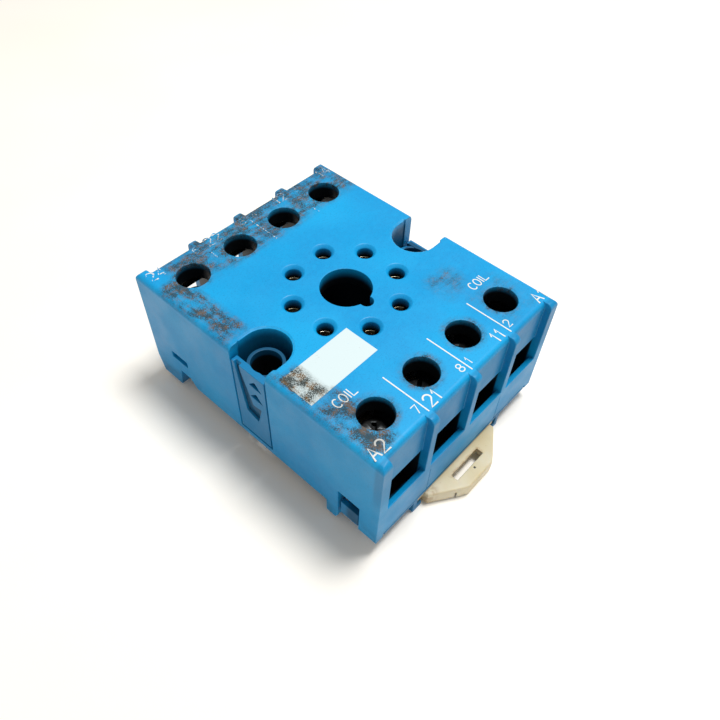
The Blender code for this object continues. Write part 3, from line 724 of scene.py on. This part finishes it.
random.seed(8)
for name in TERMINALS:
    low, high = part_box("terminal_screw_" + name)
    screw = bpy.data.objects.new("screw_detail_" + name, screw_mesh)
    middle = (low + high) / 2
    screw.location = (middle.x, middle.y, high.z - HEAD_HEIGHT * MM)
    screw.rotation_euler.z = math.radians(random.uniform(-80, 80))
    scene.collection.objects.link(screw)
    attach(screw, "screw_" + name)
    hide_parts("terminal_screw_" + name)
print("screws:", len(TERMINALS), "faces each:", len(screw_mesh.polygons))

# %% [markdown]
# ## Printed marks
# The terminals are numbered in white pad printing, with thin dividing lines between them. Pad print is
# a film of ink, so each mark is a very thin solid on the surface. Old print flakes: the ink's material
# mixes in the blue below it, more at the rear row, where hands and tools have rubbed it away.


# %% Ink material and the mark builder
def worn_ink(name, wear, brown, soiled, ink_hex="#E3E9EA"):
    """White ink, with wear from 0 to 1 and shares of brown film and of the dirt on its face."""
    material, shader = new_material(name, 0.5, specular=0.4)
    place = millimetres(material)
    flakes = noise(material, place, 0.35, 5.0, 0.4)
    keep = ramp(material, flakes, 0.28 + wear * 0.34, 0.36 + wear * 0.34)
    colour = mix(material, keep, hex_colour("#0EA5E6"), hex_colour(ink_hex))
    film = ramp(material, noise(material, place, 1.1, 4.0, 0.8), 0.66 - brown * 0.3, 0.80 - brown * 0.2)
    colour = mix(material, maths(material, "MULTIPLY", film, 0.5), colour, hex_colour("#7A6247"))
    dirt = maths(material, "MULTIPLY", top_dirt(material, place), soiled)
    colour = mix(material, dirt, colour, dirt_colour(material, place))
    link(material, colour, shader.inputs["Base Color"])
    bump(material, shader, flakes, 0.3, 0.01)
    return material


fresh_ink = worn_ink("white_ink", -0.05, 0.05, 0.45)
worn_white = worn_ink("white_ink_worn", 0.60, 0.2, 0.8)
TOP_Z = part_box("housing")[1].z / MM
INK_HEIGHT = 0.05
INK_ROOT = 0.02  # how deep a bar reaches into the plastic
DIVIDER_HALF_WIDTH = 0.1
marks = []


def place_mark(obj, material):
    """Inks a mark and fixes it to the socket."""
    obj.data.materials.append(material)
    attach(obj, "socket")
    marks.append(obj.name)


def printed_bar(name, low, high, material):
    """A flat printed rectangle on the top face, from low (x, y) to high (x, y)."""
    bar = box_mesh(name, (*low, TOP_Z - INK_ROOT), (*high, TOP_Z + INK_HEIGHT))
    place_mark(bar, material)


def ellipse(x, y, half_width, half_height, start, end):
    """Points on an ellipse from one angle to another, in degrees."""
    steps = 14
    turn = [math.radians(start + (end - start) * i / steps) for i in range(steps + 1)]
    return [(x + half_width * math.cos(a), y + half_height * math.sin(a)) for a in turn]


# Each character is a few strokes in a box 1 wide and 1 high.
STROKES = {
    "A": [[(0, 0), (0.5, 1), (1, 0)], [(0.2, 0.36), (0.8, 0.36)]],
    "C": [ellipse(0.54, 0.5, 0.54, 0.5, 48, 312)],
    "O": [ellipse(0.5, 0.5, 0.5, 0.5, 0, 360)],
    "I": [[(0.5, 0), (0.5, 1)]],
    "L": [[(0.05, 1), (0.05, 0), (0.95, 0)]],
    "1": [[(0.12, 0.70), (0.60, 1), (0.60, 0)]],
    "2": [ellipse(0.5, 0.70, 0.48, 0.30, 170, -28) + [(0, 0), (1, 0)]],
    "3": [
        ellipse(0.46, 0.75, 0.46, 0.25, 160, -90) + ellipse(0.46, 0.26, 0.52, 0.26, 85, -165)
    ],
    "4": [[(1, 0.28), (0, 0.28), (0.72, 1), (0.72, 0)]],
    "5": [[(0.92, 1), (0.14, 1), (0.08, 0.54)] + ellipse(0.46, 0.32, 0.52, 0.32, 128, -155)],
    "6": [ellipse(0.86, 0.32, 0.86, 0.68, 88, 180) + ellipse(0.5, 0.32, 0.5, 0.32, 180, -180)],
    "7": [[(0, 1), (1, 1), (0.34, 0)]],
    "8": [
        ellipse(0.5, 0.76, 0.42, 0.24, -90, 270),
        ellipse(0.5, 0.26, 0.5, 0.26, 90, -270),
    ],
}
STROKE_SHARE = 0.14  # stroke width, as a share of the height
NARROW = {"I": 0.12, "1": 0.36}
PLAIN_WIDTH = 0.62  # of the height, for every other character
LETTER_SPACE = 0.20


def printed_text(name, words, left, foot, height, material):
    """Words drawn with a thin pen on the top face, from the place left, standing on foot."""
    curve = bpy.data.curves.new(name, "CURVE")
    curve.dimensions = "3D"
    curve.bevel_depth = STROKE_SHARE * height / 2
    curve.bevel_resolution = 2
    curve.use_fill_caps = True
    cursor = left
    for letter in words:
        width = NARROW.get(letter, PLAIN_WIDTH) * height
        for stroke in STROKES[letter]:
            spline = curve.splines.new("POLY")
            spline.points.add(len(stroke) - 1)
            for point, (u, v) in zip(spline.points, stroke):
                point.co = (cursor + u * width, foot + v * height, 0.0, 1.0)
        cursor += width + LETTER_SPACE * height
    obj = bpy.data.objects.new(name, curve)
    scene.collection.objects.link(obj)
    mesh = applied(obj)
    flatten = Matrix.Diagonal((1.0, 1.0, INK_HEIGHT / (STROKE_SHARE * height), 1.0))
    mesh.transform(Matrix.Scale(MM, 4) @ Matrix.Translation((0, 0, TOP_Z)) @ flatten)
    text = bpy.data.objects.new(name, mesh)
    scene.collection.objects.link(text)
    place_mark(text, material)


# %% Print the front row, the rear row and the blank panel
# Each divider: the middle of the line, its nearer end and its farther end.
FRONT_DIVIDERS = ((-9.3, -23.5, -15.4), (0.35, -23.5, -15.4), (9.95, -23.5, -15.4))
REAR_DIVIDERS = ((-9.1, 19.0, 20.5), (0.4, 15.6, 22.0), (10.0, 15.5, 17.0))
for row, dividers, ink in (("front", FRONT_DIVIDERS, fresh_ink), ("rear", REAR_DIVIDERS, worn_white)):
    for index, (x, near, far) in enumerate(dividers):
        low = (x - DIVIDER_HALF_WIDTH, near)
        high = (x + DIVIDER_HALF_WIDTH, far)
        printed_bar(f"divider_{row}_{index}", low, high, ink)
panel_ink = worn_ink("panel_ink", -0.22, 0.0, 1.2, "#CFE2E8")
printed_bar("blank_panel", (-19.3, -11.7), (-6.1, -5.7), panel_ink)

# Each mark: its characters, the place of its left edge, its foot and its height.
FRONT_TEXT = (
    ("A2", -19.8, -23.4, 2.0),
    ("7", -10.7, -22.8, 1.4),
    ("21", -8.5, -23.4, 2.0),
    ("8", -1.05, -22.8, 1.4),
    ("1", 1.0, -22.8, 1.4),
    ("11", 7.0, -23.4, 2.0),
    ("2", 10.5, -22.8, 1.4),
    ("A1", 17.8, -23.4, 2.0),
    ("COIL", -17.2, -14.6, 1.5),
    ("COIL", 13.1, -14.6, 1.5),
)
REAR_TEXT = (
    ("24", -19.6, 21.8, 2.0),
    ("6", -11.0, 22.0, 1.4),
    ("22", -8.4, 21.8, 2.0),
    ("5", -1.2, 22.0, 1.4),
    ("4", 1.4, 22.0, 1.4),
    ("12", 6.6, 21.8, 2.0),
    ("3", 10.8, 22.0, 1.4),
    ("14", 17.2, 21.8, 2.0),
)
for row, texts, ink in (("front", FRONT_TEXT, fresh_ink), ("rear", REAR_TEXT, worn_white)):
    for index, (words, left, foot, height) in enumerate(texts):
        printed_text(f"mark_{row}_{index}", words, left, foot, height, ink)
print("marks:", len(marks))

# %% [markdown]
# ## Floor and light
# The object stands on a plain white floor. One soft disk light hangs high above it, a little to the
# right and toward the front, and gives the bright top and the shadow at the left. A pale, slightly
# warm world keeps the shadow light.

# %% Floor
floor_z = cad_bounds[0][2]


def white_paper():
    """Matt white with the faintest change of tone."""
    material, shader = new_material("white_paper", 0.8, specular=0.1)
    place = millimetres(material)
    tone = ramp(material, noise(material, place, 40.0, 2.0), 0.3, 0.7)
    link(
        material,
        mix(material, tone, hex_colour("#FFFCF6"), hex_colour("#FFFEFA")),
        shader.inputs["Base Color"],
    )
    return material


bm = bmesh.new()
bmesh.ops.create_grid(bm, x_segments=1, y_segments=1, size=3.0)
floor = link_mesh("floor", bm)
floor.location.z = floor_z - 0.00002
floor.data.materials.append(white_paper())
print("floor at", round(floor.location.z / MM, 2), "mm")


# %% Light and world
def area_light(name, place_mm, size_mm, watts, colour):
    """A disk light that faces the origin."""
    light = bpy.data.lights.new(name, "AREA")
    light.shape = "DISK"
    light.size = size_mm * MM
    light.energy = watts
    light.color = hex_colour(colour)[:3]
    lamp = bpy.data.objects.new(name, light)
    lamp.location = Vector(place_mm) * MM
    lamp.rotation_euler = (-lamp.location).to_track_quat("-Z", "Y").to_euler()
    scene.collection.objects.link(lamp)


KEY_PLACE = (104, -48, 434)
KEY_SIZE = 150
KEY_WATTS = 1.7
WORLD_STRENGTH = 0.45

area_light("key_light", KEY_PLACE, KEY_SIZE, KEY_WATTS, "#FFFDFA")
world = bpy.data.worlds.new("pale_room")
world.use_nodes = True
background = world.node_tree.nodes["Background"]
background.inputs["Color"].default_value = hex_colour("#FFF9F0")
background.inputs["Strength"].default_value = WORLD_STRENGTH
scene.world = world
scene.view_settings.view_transform = "Standard"
print("light and world ready")
